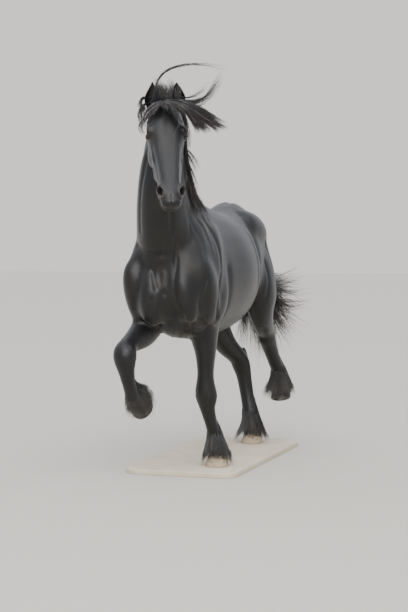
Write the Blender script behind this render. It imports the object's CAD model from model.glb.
import math

import bmesh
import bpy
import numpy as np
from mathutils import Matrix, Vector
from mathutils.bvhtree import BVHTree


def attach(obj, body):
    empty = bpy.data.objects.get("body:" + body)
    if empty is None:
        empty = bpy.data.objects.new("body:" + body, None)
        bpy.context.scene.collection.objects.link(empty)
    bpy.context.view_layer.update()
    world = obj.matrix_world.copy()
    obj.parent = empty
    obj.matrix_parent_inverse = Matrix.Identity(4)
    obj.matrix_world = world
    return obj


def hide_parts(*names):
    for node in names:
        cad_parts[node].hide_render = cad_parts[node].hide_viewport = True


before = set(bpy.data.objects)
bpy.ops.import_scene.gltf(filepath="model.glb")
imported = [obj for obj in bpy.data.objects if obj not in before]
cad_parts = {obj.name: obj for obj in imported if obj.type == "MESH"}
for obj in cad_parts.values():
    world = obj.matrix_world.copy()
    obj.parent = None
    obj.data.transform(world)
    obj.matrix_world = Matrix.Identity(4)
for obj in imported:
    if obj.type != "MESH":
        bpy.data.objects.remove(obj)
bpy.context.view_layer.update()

# The studio. The camera stands a little over nine metres off, at chest height, and looks at the
# horse from in front and from its left. The floor is pale, and the light is soft and comes
# mostly from above and in front, as under a clouded sky.
HORSE_AT = Vector((-0.067, -0.002, 0.0303))
CAMERA_TURN_DEG = 18.0
CAMERA_TILT_DEG = 2.35
CAMERA_DISTANCE = 9.160
CAMERA_ASIDE = 0.0185
CAMERA_HEIGHT = 1.30
CAMERA_LENS_MM = 87.35


def linear(hex_color):
    """A colour written as sRGB hex, as the linear values that a shader takes."""
    out = []
    for i in (1, 3, 5):
        value = int(hex_color[i : i + 2], 16) / 255
        out.append(value / 12.92 if value <= 0.04045 else ((value + 0.055) / 1.055) ** 2.4)
    return (*out, 1.0)


def node(tree, kind, settings=(), links=()):
    """A node with its settings and with values or other nodes' outputs on its inputs."""
    made = tree.nodes.new(kind)
    for name, value in dict(settings).items():
        setattr(made, name, value)
    for name, value in dict(links).items():
        if isinstance(value, bpy.types.NodeSocket):
            tree.links.new(value, made.inputs[name])
        else:
            made.inputs[name].default_value = value
    return made


def new_material(name):
    material = bpy.data.materials.new(name)
    material.use_nodes = True
    material.node_tree.nodes.clear()
    return material, material.node_tree


def surface(tree, values):
    """The material's surface: one shader with these values on its inputs."""
    shader = node(tree, "ShaderNodeBsdfPrincipled", (), values)
    node(tree, "ShaderNodeOutputMaterial", (), {"Surface": shader.outputs["BSDF"]})


def ranged(tree, value, start=(0.0, 1.0), end=(0.0, 1.0)):
    """The value, carried over from its starting range to the other and held inside it."""
    ends = {"From Min": start[0], "From Max": start[1], "To Min": end[0], "To Max": end[1]}
    return node(tree, "ShaderNodeMapRange", (), {"Value": value, **ends}).outputs[0]


turn = math.radians(CAMERA_TURN_DEG)
ahead = Vector((-math.sin(turn), math.cos(turn), 0.0))
aside = Vector((math.cos(turn), math.sin(turn), 0.0))
camera_place = HORSE_AT - ahead * CAMERA_DISTANCE - aside * CAMERA_ASIDE + Vector((0, 0, CAMERA_HEIGHT))
camera_turn = (math.radians(90 - CAMERA_TILT_DEG), 0, turn)
bpy.ops.object.camera_add(location=camera_place, rotation=camera_turn)
camera = bpy.context.object
camera.data.lens = CAMERA_LENS_MM
camera.data.sensor_width = 36.0
camera.data.clip_end = 200.0
bpy.context.scene.camera = camera

bpy.ops.mesh.primitive_plane_add(size=120, location=(0, 0, 0))
floor = bpy.context.object
floor.name = "studio_floor"
floor_material, tree = new_material("pale_studio_floor")
surface(tree, {"Base Color": linear("#b9b4ab"), "Roughness": 0.9})
floor.data.materials.append(floor_material)

world = bpy.data.worlds.new("studio_air")
bpy.context.scene.world = world
world.use_nodes = True
tree = world.node_tree
tree.nodes.clear()
seen = node(tree, "ShaderNodeBackground", (), {"Color": linear("#eeece8"), "Strength": 1.18})
sky_place = node(tree, "ShaderNodeTexCoord")
way_up = node(tree, "ShaderNodeSeparateXYZ", (), {"Vector": sky_place.outputs["Generated"]})
overhead = ranged(tree, way_up.outputs["Z"], (0.05, 1.0), (0.85, 1.95))
felt = node(tree, "ShaderNodeBackground", (), {"Color": linear("#e8ecf4"), "Strength": overhead})
ray = node(tree, "ShaderNodeLightPath")
mix = node(tree, "ShaderNodeMixShader", (), {"Fac": ray.outputs["Is Camera Ray"]})
tree.links.new(felt.outputs[0], mix.inputs[1])
tree.links.new(seen.outputs[0], mix.inputs[2])
node(tree, "ShaderNodeOutputWorld", (), {"Surface": mix.outputs[0]})

bpy.ops.object.light_add(type="SUN", location=(2, -3, 6), rotation=(math.radians(28), math.radians(14), 0))
overcast = bpy.context.object
overcast.name = "overcast_sun"
overcast.data.energy = 2.3
overcast.data.angle = math.radians(70)
overcast.data.color = linear("#fbfaf8")[:3]

# one large soft lamp behind the camera and above it
front_panel_place = Vector((3.6, -14.5, 8.0))
way = Vector((0, -0.5, 1.5)) - front_panel_place
front_panel_turn = way.to_track_quat("-Z", "Y").to_euler()
bpy.ops.object.light_add(type="AREA", location=front_panel_place, rotation=front_panel_turn)
front_panel = bpy.context.object
front_panel.name = "front_panel"
front_panel.data.size = 9.0
front_panel.data.energy = 1750
front_panel.data.color = linear("#fffaf4")[:3]

# The skin. It is the horse's own hide, one closed surface from the lips to the dock and down to
# the coronets. Trunk, neck, head and legs are lofted from a few measured sections each, muscles
# are laid on them, all is fused and eased, and creases, tendons and the face are then pressed in.
LEAN_DEG = 5.0
LEAN_PIVOT = 1.15
SKIN_GRAIN = 0.010
COAT_DEPTH = 0.0012
EASE_STEPS = 5
BODY_EASE_STEPS = 33

# Trunk: y, top, bottom, height of the widest line, half width, pinch of the top, of the bottom
TRUNK = (
    (-0.80, 1.22, 1.00, 1.11, 0.09, 1.0, 1.0),
    (-0.75, 1.36, 0.89, 1.12, 0.19, 1.0, 1.0),
    (-0.62, 1.50, 0.775, 1.12, 0.240, 1.0, 0.9),
    (-0.45, 1.600, 0.745, 1.10, 0.250, 1.25, 0.9),
    (-0.25, 1.580, 0.745, 1.10, 0.270, 1.20, 0.95),
    (-0.02, 1.520, 0.755, 1.12, 0.298, 1.0, 1.0),
    (0.20, 1.510, 0.785, 1.13, 0.283, 0.95, 1.0),
    (0.38, 1.560, 0.870, 1.18, 0.250, 1.05, 1.0),
    (0.53, 1.590, 0.980, 1.22, 0.228, 1.15, 1.0),
    (0.68, 1.545, 1.030, 1.20, 0.195, 1.10, 1.0),
    (0.80, 1.430, 1.090, 1.20, 0.140, 1.0, 1.0),
    (0.85, 1.300, 1.150, 1.22, 0.060, 1.0, 1.0),
)

# Neck: crest y and z, underline y and z, sideways place of the middle, half width
NECK = (
    (-0.24, 1.53, -0.64, 0.96, -0.028, 0.180),
    (-0.39, 1.62, -0.79, 1.15, -0.034, 0.180),
    (-0.48, 1.735, -0.865, 1.31, -0.034, 0.158),
    (-0.585, 1.875, -0.918, 1.45, -0.022, 0.140),
    (-0.70, 2.005, -0.945, 1.58, 0.002, 0.126),
    (-0.82, 2.090, -0.940, 1.70, 0.036, 0.112),
    (-0.93, 2.125, -0.915, 1.79, 0.070, 0.098),
    (-1.02, 2.100, -0.930, 1.87, 0.094, 0.080),
)

# Head: distance down the face, face line, jaw line and widest line in front of it, half width,
# squareness of the face side, of the jaw side
POLL = Vector((0.094, -1.035, 2.075))
HEAD_YAW_DEG = 25.4
HEAD_PITCH_DEG = 34.0
HEAD = (
    (-0.035, -0.035, -0.120, -0.07, 0.046, 1.0, 1.0),
    (0.005, -0.004, -0.165, -0.07, 0.078, 0.9, 1.0),
    (0.060, 0.008, -0.205, -0.07, 0.096, 0.8, 1.0),
    (0.130, 0.014, -0.228, -0.07, 0.106, 0.75, 1.0),
    (0.190, 0.012, -0.240, -0.07, 0.104, 0.75, 1.0),
    (0.260, 0.006, -0.236, -0.08, 0.091, 0.66, 1.0),
    (0.330, 0.000, -0.215, -0.085, 0.081, 0.60, 1.0),
    (0.410, -0.002, -0.170, -0.085, 0.071, 0.56, 1.0),
    (0.490, -0.002, -0.142, -0.08, 0.064, 0.60, 0.9),
    (0.550, -0.003, -0.135, -0.07, 0.064, 0.75, 0.9),
    (0.600, -0.010, -0.132, -0.07, 0.062, 0.8, 0.9),
    (0.640, -0.028, -0.128, -0.075, 0.054, 0.9, 0.9),
    (0.662, -0.050, -0.112, -0.08, 0.034, 1.0, 1.0),
)

# Swellings of one side of the head: place down the face, aside and out, then half-sizes. Brow
# over the eye, cheek, crest of the cheekbone, bar of the jaw, wing of the nostril
HEAD_SWELLINGS = (
    ((0.165, 0.092, -0.030), (0.022, 0.036, 0.026)),
    ((0.225, 0.068, -0.150), (0.030, 0.095, 0.085)),
    ((0.290, 0.078, -0.072), (0.012, 0.070, 0.014)),
    ((0.345, 0.050, -0.125), (0.030, 0.110, 0.050)),
    ((0.560, 0.054, -0.042), (0.026, 0.046, 0.034)),
)
# Upper lip and chin
LIP_SWELLINGS = (
    ((0.632, 0, -0.052), (0.056, 0.032, 0.036)),
    ((0.610, 0, -0.122), (0.042, 0.042, 0.028)),
)

# Legs: x, y, z, half width, half depth before and behind
LEGS = {
    "fore_left": (
        (0.135, -0.500, 1.06, 0.080, 0.13, 0.13),
        (0.138, -0.465, 0.90, 0.085, 0.120, 0.125),
        (0.125, -0.440, 0.77, 0.082, 0.090, 0.096),
        (0.130, -0.430, 0.66, 0.063, 0.064, 0.066),
        (0.126, -0.420, 0.54, 0.051, 0.049, 0.050),
        (0.124, -0.410, 0.455, 0.064, 0.054, 0.052),
        (0.128, -0.402, 0.400, 0.069, 0.054, 0.050),
        (0.131, -0.394, 0.335, 0.049, 0.040, 0.046),
        (0.145, -0.375, 0.255, 0.040, 0.036, 0.046),
        (0.155, -0.352, 0.190, 0.041, 0.038, 0.048),
        (0.162, -0.340, 0.148, 0.048, 0.044, 0.053),
    ),
    "fore_right": (
        (-0.150, -0.56, 1.05, 0.090, 0.13, 0.13),
        (-0.156, -0.575, 0.91, 0.090, 0.130, 0.150),
        (-0.168, -0.650, 0.82, 0.080, 0.092, 0.115),
        (-0.186, -0.740, 0.770, 0.066, 0.068, 0.084),
        (-0.202, -0.820, 0.735, 0.055, 0.054, 0.056),
        (-0.205, -0.872, 0.694, 0.070, 0.062, 0.054),
        (-0.202, -0.880, 0.640, 0.067, 0.055, 0.052),
        (-0.199, -0.868, 0.580, 0.050, 0.042, 0.048),
        (-0.195, -0.845, 0.515, 0.042, 0.036, 0.046),
        (-0.191, -0.820, 0.465, 0.041, 0.037, 0.046),
        (-0.188, -0.800, 0.428, 0.045, 0.042, 0.050),
    ),
    "hind_right": (
        (-0.115, 0.590, 1.30, 0.100, 0.17, 0.16),
        (-0.145, 0.560, 1.12, 0.115, 0.19, 0.18),
        (-0.145, 0.500, 0.95, 0.100, 0.145, 0.200),
        (-0.115, 0.520, 0.80, 0.078, 0.110, 0.140),
        (-0.080, 0.630, 0.655, 0.074, 0.076, 0.080),
        (-0.028, 0.730, 0.560, 0.062, 0.056, 0.066),
        (-0.007, 0.768, 0.500, 0.064, 0.060, 0.062),
        (0.008, 0.780, 0.430, 0.053, 0.052, 0.054),
        (0.031, 0.772, 0.310, 0.048, 0.043, 0.051),
        (0.052, 0.758, 0.215, 0.049, 0.043, 0.053),
        (0.070, 0.745, 0.155, 0.050, 0.046, 0.055),
    ),
    "hind_left": (
        (0.100, 0.590, 1.30, 0.100, 0.17, 0.16),
        (0.150, 0.580, 1.13, 0.115, 0.19, 0.18),
        (0.188, 0.530, 0.98, 0.105, 0.145, 0.200),
        (0.190, 0.550, 0.87, 0.082, 0.095, 0.150),
        (0.180, 0.640, 0.785, 0.068, 0.066, 0.080),
        (0.172, 0.725, 0.735, 0.062, 0.055, 0.064),
        (0.168, 0.770, 0.695, 0.064, 0.060, 0.062),
        (0.171, 0.822, 0.635, 0.056, 0.051, 0.054),
        (0.179, 0.885, 0.555, 0.049, 0.043, 0.050),
        (0.190, 0.940, 0.485, 0.048, 0.042, 0.049),
        (0.203, 0.965, 0.448, 0.046, 0.044, 0.052),
    ),
}

# Feet: middle of the sole, way of the toe, way up from the sole
FEET = {
    "fore_left": ((0.197, -0.425, 0.0), (0.10, -0.995, 0.0), (0.0, 0.0, 1.0)),
    "fore_right": ((-0.190, -0.640, 0.352), (0.0, -0.50, -0.866), (0.0, -0.866, 0.50)),
    "hind_left": ((0.207, 0.985, 0.268), (0.0, -0.966, -0.259), (0.0, -0.259, 0.966)),
    "hind_right": ((0.104, 0.635, 0.0), (0.10, -0.995, 0.0), (0.0, 0.0, 1.0)),
}
CORONET_HEIGHT = 0.0655
CORONET_SETBACK = 0.048
CORONET_HALF_WIDTH = 0.0558
CORONET_HALF_LENGTH = 0.0574

# Dock: x, y, z, half width, half depth below and above
DOCK = (
    (-0.030, 0.700, 1.420, 0.075, 0.10, 0.06),
    (-0.030, 0.810, 1.430, 0.052, 0.06, 0.048),
    (-0.028, 0.895, 1.405, 0.040, 0.042, 0.040),
    (-0.020, 0.960, 1.335, 0.034, 0.034, 0.034),
    (-0.010, 1.000, 1.240, 0.028, 0.028, 0.028),
    (0.000, 1.025, 1.140, 0.018, 0.018, 0.018),
)

# Muscles of one side: from, to, half width, half depth. Blade, deltoid, upper arm behind and
# before, breast, croup, thigh, flank
MUSCLES = (
    ((0.075, -0.36, 1.57), (0.185, -0.74, 1.08), 0.075, 0.115),
    ((0.165, -0.36, 1.42), (0.198, -0.62, 0.98), 0.075, 0.110),
    ((0.185, -0.30, 1.15), (0.178, -0.58, 0.82), 0.080, 0.100),
    ((0.188, -0.70, 1.24), (0.163, -0.56, 0.82), 0.085, 0.110),
    ((0.075, -0.73, 1.22), (0.105, -0.70, 0.84), 0.095, 0.105),
    ((0.110, 0.26, 1.42), (0.125, 0.76, 1.33), 0.125, 0.135),
    ((0.120, 0.62, 1.46), (0.140, 0.71, 0.90), 0.095, 0.125),
    ((0.180, 0.28, 1.36), (0.165, 0.50, 0.92), 0.070, 0.100),
)
HOCK_POINTS = (
    ((-0.003, 0.795, 0.625), (0.012, 0.824, 0.455)),
    ((0.174, 0.738, 0.800), (0.186, 0.868, 0.650)),
)

yaw, pitch = math.radians(HEAD_YAW_DEG), math.radians(HEAD_PITCH_DEG)
head_ahead = Vector((math.sin(yaw), -math.cos(yaw), 0))
FACE_DOWN = head_ahead * math.sin(pitch) - Vector((0, 0, math.cos(pitch)))
FACE_OUT = head_ahead * math.cos(pitch) + Vector((0, 0, math.sin(pitch)))
FACE_LEFT = FACE_OUT.cross(FACE_DOWN)
HEAD_TURN = Matrix((FACE_LEFT, FACE_DOWN, FACE_OUT)).transposed()


def head_point(down, left, out):
    """A point of the head by its distance down the face, to its left and out of the forehead."""
    return POLL + FACE_DOWN * down + FACE_LEFT * left + FACE_OUT * out


def lean(x, y, z):
    """A point of the upright trunk, carried over to the horse's right with its lean."""
    angle = math.radians(LEAN_DEG)
    height = z - LEAN_PIVOT
    across = x * math.cos(angle) - height * math.sin(angle)
    return Vector((across, y, LEAN_PIVOT + x * math.sin(angle) + height * math.cos(angle)))


def eased_rows(rows, steps=4):
    """Rows of numbers carried smoothly through the given rows."""
    keys = np.array(rows, float)
    ends = np.vstack([2 * keys[0] - keys[1], keys, 2 * keys[-1] - keys[-2]])
    out = []
    for i in range(1, len(ends) - 2):
        a, b, c, d = ends[i - 1 : i + 3]
        bend, twist = 2 * a - 5 * b + 4 * c - d, 3 * b - a - 3 * c + d
        for t in np.arange(steps) / steps:
            out.append(b + 0.5 * ((c - a) * t + bend * t**2 + twist * t**3))
    out.append(keys[-1])
    return np.array(out)


def oval(half_width, low, high, middle, top_power, bottom_power, count=24):
    """(side, height) round one section whose upper and lower halves differ."""
    out = []
    for k in range(count):
        c, s = math.cos(2 * math.pi * k / count), math.sin(2 * math.pi * k / count)
        power = top_power if s > 0 else bottom_power
        reach = high - middle if s > 0 else middle - low
        out.append((half_width * math.copysign(abs(c) ** power, c), middle + reach * s))
    return out


def add_loft(bm, rings):
    """A closed tube through rings of equal count, with a fan of faces at each end."""
    loops = [[bm.verts.new(p) for p in ring] for ring in rings]
    count = len(rings[0])
    for low, high in zip(loops, loops[1:]):
        for k in range(count):
            n = (k + 1) % count
            bm.faces.new((low[k], low[n], high[n], high[k]))
    for loop in (loops[0], loops[-1]):
        hub = bm.verts.new(sum((v.co for v in loop), Vector()) / count)
        for k in range(count):
            bm.faces.new((loop[k], loop[(k + 1) % count], hub))


def add_ball(bm, centre, radii, facing):
    """A sphere stretched to its half-sizes and turned."""
    matrix = Matrix.Translation(centre) @ facing.to_4x4() @ Matrix.Diagonal((*radii, 1.0))
    bmesh.ops.create_uvsphere(bm, u_segments=24, v_segments=16, radius=1.0, matrix=matrix)


def add_muscle(bm, start, end, wide, deep):
    """A spindle from one point to another, so wide across and so deep the third way."""
    start, end = Vector(start), Vector(end)
    along = (end - start).normalized()
    side = (Vector((1, 0, 0)) - along * along.x).normalized()
    facing = Matrix((side, along, side.cross(along))).transposed()
    add_ball(bm, (start + end) / 2, (wide, (end - start).length / 2, deep), facing)


def foot_axes(name):
    """Middle of the sole, to the left, to the toe, up from the sole."""
    sole, toe, up = (Vector(v) for v in FEET[name])
    toe, up = toe.normalized(), up.normalized()
    return sole, toe.cross(up), toe, up


def leg_frames(rows):
    """Each row of a leg with its place, its way to the left and its way ahead."""
    for i, row in enumerate(rows):
        step = Vector(rows[min(i + 1, len(rows) - 1)][:3]) - Vector(rows[max(i - 1, 0)][:3])
        down = step.normalized()
        side = (Vector((1, 0, 0)) - down * down.x).normalized()
        yield row, Vector(row[:3]), side, down.cross(side)


def leg_rings(stations):
    """Rings across a leg, whose width lies across the horse and depth along its stride."""
    rings = []
    for (x, y, z, half, before, behind), place, side, front in leg_frames(eased_rows(stations)):
        ring = []
        for k in range(24):
            angle = 2 * math.pi * k / 24
            reach = before if math.sin(angle) > 0 else behind
            ring.append(place + (side * half * math.cos(angle) + front * reach * math.sin(angle)))
        rings.append(ring)
    return rings


def object_of(bm, name):
    """An object whose mesh is the one built in bm."""
    mesh = bpy.data.meshes.new(name)
    bm.to_mesh(mesh)
    bm.free()
    obj = bpy.data.objects.new(name, mesh)
    bpy.context.scene.collection.objects.link(obj)
    return obj


def make_flesh():
    """Lofts and muscles of the whole horse in one mesh, which still cross each other."""
    bm = bmesh.new()
    rings = []
    for y, top, bottom, middle, half, top_power, bottom_power in eased_rows(TRUNK):
        outline = oval(half, bottom, top, middle, top_power, bottom_power)
        rings.append([lean(x, y, z) for x, z in outline])
    add_loft(bm, rings)
    rings = []
    for crest_y, crest_z, under_y, under_z, shift, half in eased_rows(NECK):
        crest = Vector((shift, crest_y, crest_z))
        under = Vector((shift, under_y, under_z))
        middle, rise = (crest + under) / 2, (crest - under) / 2
        outline = oval(half, -1.0, 1.0, -0.12, 1.25, 0.95)
        rings.append([middle + rise * up + Vector((side, 0, 0)) for side, up in outline])
    add_loft(bm, rings)
    rings = []
    for down, face, jaw, middle, half, face_power, jaw_power in eased_rows(HEAD):
        outline = oval(half, jaw, face, middle, face_power, jaw_power)
        rings.append([head_point(down, side, out) for side, out in outline])
    add_loft(bm, rings)
    for side in (-1, 1):
        for (down, across, out), radii in HEAD_SWELLINGS:
            add_ball(bm, head_point(down, side * across, out), radii, HEAD_TURN)
    for place, radii in LIP_SWELLINGS:
        add_ball(bm, head_point(*place), radii, HEAD_TURN)
    for side in (-1, 1):
        for start, end, wide, deep in MUSCLES:
            ends = []
            for x, y, z in (start, end):
                # the raised right fore leg carries the shoulder out and forward with it
                carried = side < 0 and y < -0.5 and x > 0.1
                outward = 0.022 if carried and x > 0.15 else 0.0
                ends.append(lean(side * (x + outward), y - (0.06 if carried else 0.0), z))
            add_muscle(bm, *ends, wide, deep)
    for start, end in HOCK_POINTS:
        add_muscle(bm, start, end, 0.026, 0.033)
    for name, stations in LEGS.items():
        sole, side, toe, up = foot_axes(name)
        fetlock = Vector(stations[-1][:3])
        coronet = sole + up * CORONET_HEIGHT - toe * CORONET_SETBACK
        pastern = (coronet + up * 0.045 - toe * 0.016).lerp(fetlock, 0.25)
        stub = coronet - up * 0.035 + toe * 0.022
        foot = (
            (*pastern, 0.041, 0.040, 0.044),
            (*coronet, CORONET_HALF_WIDTH, CORONET_HALF_LENGTH, CORONET_HALF_LENGTH * 0.95),
            (*stub, CORONET_HALF_WIDTH, CORONET_HALF_LENGTH, CORONET_HALF_LENGTH * 0.9),
        )
        add_loft(bm, leg_rings(stations + foot))
    add_loft(bm, leg_rings(DOCK))
    bmesh.ops.recalc_face_normals(bm, faces=bm.faces)
    return object_of(bm, "skin")


def only(obj):
    """The object alone is selected and active."""
    bpy.ops.object.select_all(action="DESELECT")
    obj.select_set(True)
    bpy.context.view_layer.objects.active = obj


def finish_with(obj, kind, **settings):
    """A modifier with its settings, applied."""
    only(obj)
    modifier = obj.modifiers.new(kind.lower(), kind)
    for name, value in settings.items():
        setattr(modifier, name, value)
    bpy.ops.object.modifier_apply(modifier=modifier.name)


def places_of(mesh):
    """The mesh's points as an array of rows."""
    co = np.empty(len(mesh.vertices) * 3)
    mesh.vertices.foreach_get("co", co)
    return co.reshape(-1, 3)


def normals_of(mesh):
    """The mesh's directions out of the surface, point by point."""
    out = np.empty(len(mesh.vertices) * 3)
    mesh.vertex_normals.foreach_get("vector", out)
    return out.reshape(-1, 3)


def set_places(mesh, co):
    mesh.vertices.foreach_set("co", co.ravel())
    mesh.update()


def refine(mesh, wanted):
    """The faces whose middle is wanted are quartered, and so are the edges next to them."""
    bm = bmesh.new()
    bm.from_mesh(mesh)
    faces = [f for f in bm.faces if wanted(f.calc_center_median())]
    edges = list({e for f in faces for e in f.edges})
    bmesh.ops.subdivide_edges(bm, edges=edges, cuts=1, use_grid_fill=True, smooth=0.0)
    bm.to_mesh(mesh)
    bm.free()


def ease(mesh, steps, share):
    """Points move halfway to the middle of their neighbours, as many times and as far as told."""
    count = len(mesh.vertices)
    pairs = np.empty(len(mesh.edges) * 2, int)
    mesh.edges.foreach_get("vertices", pairs)
    a, b = pairs[0::2], pairs[1::2]
    number = np.bincount(a, minlength=count) + np.bincount(b, minlength=count)
    co = places_of(mesh)
    for step in range(steps):
        total = np.empty_like(co)
        for k in range(3):
            total[:, k] = np.bincount(a, co[b, k], count) + np.bincount(b, co[a, k], count)
        co += (total / number[:, None] - co) * (0.5 * share)[:, None]
    set_places(mesh, co)


skin = make_flesh()
only(skin)
skin.data.remesh_voxel_size = SKIN_GRAIN
bpy.ops.object.voxel_remesh()
co = places_of(skin.data)
body_share = np.clip((co[:, 2] - 0.80) / 0.20, 0, 1)
body_share *= np.where(co[:, 2] > 1.5, np.clip((co[:, 1] + 0.98) / 0.10, 0, 1), 1.0)
ease(skin.data, EASE_STEPS, np.ones(len(co)))
ease(skin.data, BODY_EASE_STEPS, body_share)
co = places_of(skin.data)
head_rows = np.array((FACE_DOWN, FACE_LEFT, FACE_OUT))


def on_head(place):
    """(down the face, left, out) of one point."""
    rel = Vector(place) - POLL
    return rel.dot(FACE_DOWN), rel.dot(FACE_LEFT), rel.dot(FACE_OUT)


EYE_PLACE = (0.190, 0.089, -0.058)
EYE_RADIUS = 0.0235
NOSTRIL_PLACE = (0.577, 0.055, -0.028)


def near_head(place):
    down, left, out = on_head(place)
    return -0.06 < down < 0.70 and abs(left) < 0.16 and -0.27 < out < 0.05


def near_face_parts(place):
    """Round the eyes, and from the nostrils down, where the skin is modelled finest."""
    down, left, out = on_head(place)
    eye = Vector((down - EYE_PLACE[0], abs(left) - EYE_PLACE[1], out - EYE_PLACE[2])).length < 0.055
    return eye or (down > 0.52 and near_head(place))


def near_eye(place):
    down, left, out = on_head(place)
    eye = Vector((down - EYE_PLACE[0], abs(left) - EYE_PLACE[1], out - EYE_PLACE[2] - 0.004))
    return eye.length < 0.040


def near_cannon(place):
    """The legs below knee and hock."""
    low = 0.47 if -0.7 < place.y < 0.84 else 0.68
    return place.z < low


def about_head(rel, front):
    """Which places, as (down, left, out), are of the head, as far as this in front of the poll."""
    return (np.abs(rel[:, 1]) < 0.17) & (rel[:, 0] > -0.04) & (rel[:, 2] > -0.26) & (rel[:, 2] < front)


for fine_part in (near_head, near_face_parts, near_eye, near_cannon):
    refine(skin.data, fine_part)
co = places_of(skin.data)
rel = (co - np.array(POLL)) @ head_rows.T
ease(skin.data, 4, np.where(about_head(rel, 0.06) | (co[:, 2] < 0.70), 1.0, 0.0))

# Creases seen on the left and in front: width, depth (below 0 a ridge), points on the skin
CREASES = (
    # neck into the breast, and the furrow down the breast
    (0.020, 0.011, ((-0.185, -0.73, 1.31), (-0.13, -0.80, 1.262), (-0.032, -0.837, 1.236), (0.03, -0.82, 1.245))),
    (0.014, 0.009, ((0.076, -0.805, 1.345), (0.073, -0.797, 1.187), (0.067, -0.812, 1.046), (0.076, -0.805, 0.95))),
    (0.012, 0.007, ((-0.067, -0.807, 1.168), (-0.050, -0.82, 1.10), (-0.034, -0.831, 1.036))),
    (0.016, -0.006, ((0.0, -0.81, 1.16), (0.005, -0.81, 1.04))),
    (0.011, 0.006, ((-0.010, -0.805, 1.028), (0.018, -0.805, 1.020))),
    (0.015, 0.008, ((-0.055, -0.84, 1.01), (-0.075, -0.82, 0.93), (-0.10, -0.72, 0.82))),
    (0.018, 0.010, ((0.08, -0.80, 0.97), (0.105, -0.76, 0.88), (0.098, -0.62, 0.79))),
    (0.020, 0.009, ((-0.14, -0.825, 1.09), (-0.165, -0.80, 1.0), (-0.19, -0.77, 0.915))),
    # folds that fan out from the base of the neck over the shoulder
    (0.014, 0.0030, ((0.117, -0.749, 1.527), (0.126, -0.706, 1.414), (0.145, -0.728, 1.30))),
    (0.014, 0.0025, ((0.122, -0.72, 1.50), (0.155, -0.67, 1.39), (0.183, -0.66, 1.30), (0.20, -0.70, 1.20))),
    (0.014, 0.0025, ((0.128, -0.66, 1.50), (0.165, -0.59, 1.41), (0.205, -0.60, 1.31))),
    # edge of the shoulder blade and the long head behind the arm
    (0.016, 0.009, ((0.134, -0.53, 1.47), (0.180, -0.49, 1.38), (0.236, -0.50, 1.26), (0.262, -0.51, 1.15))),
    (0.016, -0.003, ((0.150, -0.58, 1.45), (0.200, -0.56, 1.34), (0.240, -0.58, 1.24))),
    (0.016, 0.010, ((0.262, -0.51, 1.15), (0.268, -0.56, 1.05), (0.262, -0.60, 0.96), (0.235, -0.56, 0.87))),
    (0.014, 0.008, ((0.222, -0.71, 1.12), (0.215, -0.735, 1.04), (0.190, -0.735, 0.955), (0.157, -0.67, 0.872))),
    # girth behind the elbow, the flank and the edge of the haunch
    (0.035, 0.012, ((0.235, -0.36, 1.20), (0.245, -0.37, 1.02), (0.215, -0.39, 0.86))),
    (0.045, 0.020, ((0.08, 0.36, 1.535), (0.170, 0.33, 1.46), (0.225, 0.31, 1.33), (0.245, 0.31, 1.17))),
    (0.040, 0.018, ((0.245, 0.31, 1.17), (0.255, 0.29, 1.03), (0.235, 0.27, 0.92))),
    (0.020, -0.006, ((0.215, 0.18, 1.40), (0.262, 0.18, 1.256), (0.277, 0.15, 1.03))),
    (0.016, 0.008, ((0.235, 0.60, 1.34), (0.270, 0.62, 1.20), (0.265, 0.63, 1.04), (0.225, 0.60, 0.92))),
    (0.014, 0.006, ((0.245, 0.48, 1.22), (0.265, 0.47, 1.08), (0.250, 0.44, 0.96))),
    (0.020, 0.007, ((0.0, 0.40, 1.60), (-0.01, 0.56, 1.61), (-0.02, 0.70, 1.56))),
)
# Creases of the right side, which lies in shade and outside the view
CREASES_RIGHT = (
    (0.016, 0.008, ((-0.19, -0.60, 1.45), (-0.245, -0.55, 1.32), (-0.285, -0.55, 1.17), (-0.28, -0.60, 1.02))),
    (0.035, 0.010, ((-0.265, -0.34, 1.20), (-0.25, -0.35, 1.02), (-0.22, -0.37, 0.86))),
    (0.045, 0.016, ((-0.15, 0.34, 1.48), (-0.23, 0.31, 1.33), (-0.245, 0.31, 1.15), (-0.21, 0.28, 0.94))),
    (0.016, 0.008, ((-0.19, 0.60, 1.34), (-0.22, 0.62, 1.20), (-0.215, 0.64, 1.04), (-0.19, 0.60, 0.92))),
)
# Windpipe furrows and the long muscle of the neck, on both sides: width, depth, points
NECK_CREASES = (
    (0.016, 0.007, ((0.11, -0.905, 1.80), (0.085, -0.90, 1.66), (0.075, -0.875, 1.50), (0.075, -0.84, 1.36))),
    (0.022, 0.005, ((0.16, -0.93, 1.93), (0.135, -0.82, 1.78), (0.12, -0.72, 1.62), (0.12, -0.60, 1.50))),
    (0.020, 0.006, ((0.130, -0.86, 2.03), (0.09, -0.70, 1.90), (0.08, -0.56, 1.76), (0.07, -0.44, 1.62))),
)
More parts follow.
